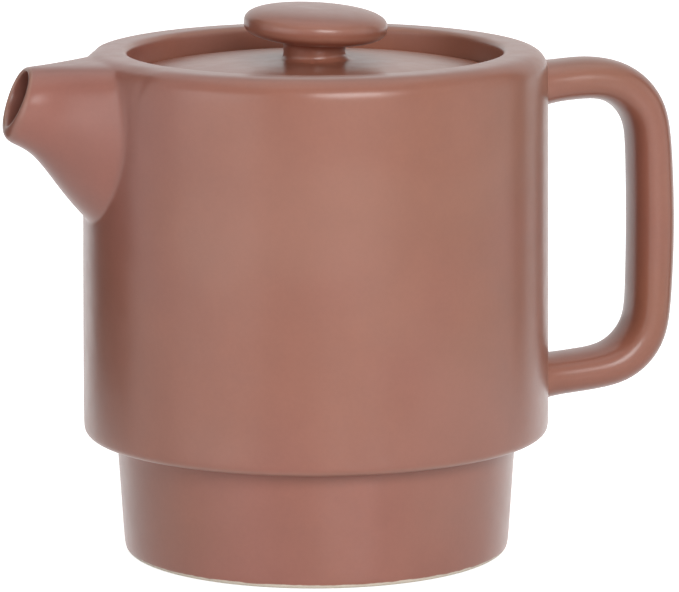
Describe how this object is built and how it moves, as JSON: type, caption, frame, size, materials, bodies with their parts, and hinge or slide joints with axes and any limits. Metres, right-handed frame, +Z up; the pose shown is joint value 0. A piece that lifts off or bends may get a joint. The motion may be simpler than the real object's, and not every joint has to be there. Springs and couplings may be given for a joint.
{
  "type": "teapot",
  "caption": "Small one-person stoneware teapot with a straight round body on a narrower foot, a funnel spout level with the rim, a square loop handle and a sunken lid.",
  "frame": {"origin": "middle of the foot ring, on the plane that stands on the table", "axes": "+Z up along the axis of the pot, -X towards the spout and +X towards the handle, Y across"},
  "size_m": [0.1561, 0.105, 0.1235],
  "materials": {
    "pot_glaze": "satin",
    "lid_glaze": "satin"
  },
  "bodies": {
    "root": {"pot": "pot_glaze", "lid": "lid_glaze"}
  },
  "joints": []
}
